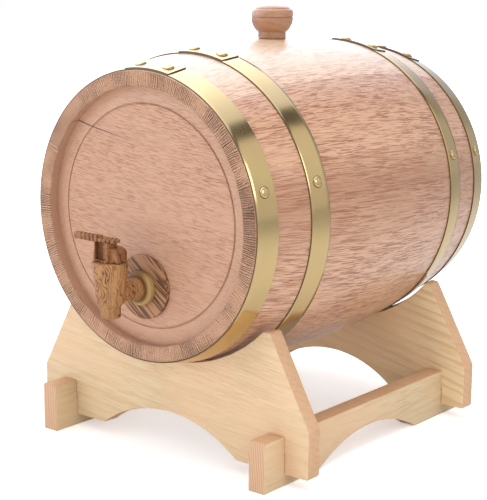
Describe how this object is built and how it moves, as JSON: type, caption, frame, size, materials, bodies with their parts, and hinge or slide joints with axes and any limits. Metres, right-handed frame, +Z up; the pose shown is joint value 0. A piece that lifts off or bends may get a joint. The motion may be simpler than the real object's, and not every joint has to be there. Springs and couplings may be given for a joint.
{
  "type": "cask liquor dispenser",
  "caption": "Small oak cask with brass hoops lying in a wooden cradle stand, with a turned bung on top and a turning wooden tap low on its front head, for serving liquor.",
  "frame": {"origin": "on the ground, under the middle of the whole object's bounding box", "axes": "+Z up; +Y from the tapped front head to the rear head, along the cask's axis; +X to the right seen from the front"},
  "size_m": [0.239, 0.3088, 0.2989],
  "materials": {
    "oak_light": "satin",
    "oak_dark": "satin",
    "head_oak": "satin",
    "hoop_brass": "satin",
    "rivet_brass": "satin",
    "bung_wood": "gloss",
    "tap_wood": "satin",
    "key_wood": "satin",
    "rosette_wood": "satin",
    "washer_wood": "satin",
    "stand_board_pine": "matte",
    "stand_rail_pine": "matte"
  },
  "bodies": {
    "stand": {"front_cradle": "stand_board_pine", "rear_cradle": "stand_board_pine", "left_rail": "stand_rail_pine", "right_rail": "stand_rail_pine"},
    "cask": {"stave_01": "oak_light", "stave_02": "oak_dark", "stave_03": "oak_light", "stave_04": "oak_dark", "stave_05": "oak_light", "stave_06": "oak_dark", "stave_07": "oak_light", "stave_08": "oak_dark", "stave_09": "oak_light", "stave_10": "oak_dark", "stave_11": "oak_light", "stave_12": "oak_dark", "stave_13": "oak_light", "stave_14": "oak_dark", "stave_15": "oak_light", "stave_16": "oak_dark", "stave_17": "oak_light", "stave_18": "oak_dark", "stave_19": "oak_light", "stave_20": "oak_dark", "stave_21": "oak_light", "stave_22": "oak_dark", "stave_23": "oak_light", "stave_24": "oak_dark", "front_head": "head_oak", "rear_head": "head_oak", "hoop_1": "hoop_brass", "hoop_2": "hoop_brass", "hoop_3": "hoop_brass", "hoop_4": "hoop_brass", "hoop_1_rivets": "rivet_brass", "hoop_2_rivets": "rivet_brass", "hoop_3_rivets": "rivet_brass", "hoop_4_rivets": "rivet_brass", "tap_body": "tap_wood", "tap_rosette": "rosette_wood", "tap_washer": "washer_wood"},
    "bung": {"bung": "bung_wood"},
    "key": {"tap_key": "key_wood", "tap_lever": "key_wood"}
  },
  "joints": [
    {"name": "cask_lift", "type": "slide", "parent": "stand", "child": "cask", "axis": [0, 0, 1], "range_m": [0, 0.12]},
    {"name": "bung_pull", "type": "slide", "parent": "cask", "child": "bung", "axis": [0, 0, 1], "range_m": [0, 0.045]},
    {"name": "key_turn", "type": "hinge", "parent": "cask", "child": "key", "pos_m": [-0.002, -0.1426, 0.119], "axis": [0, 0, 1], "range_deg": [0, 90]}
  ]
}
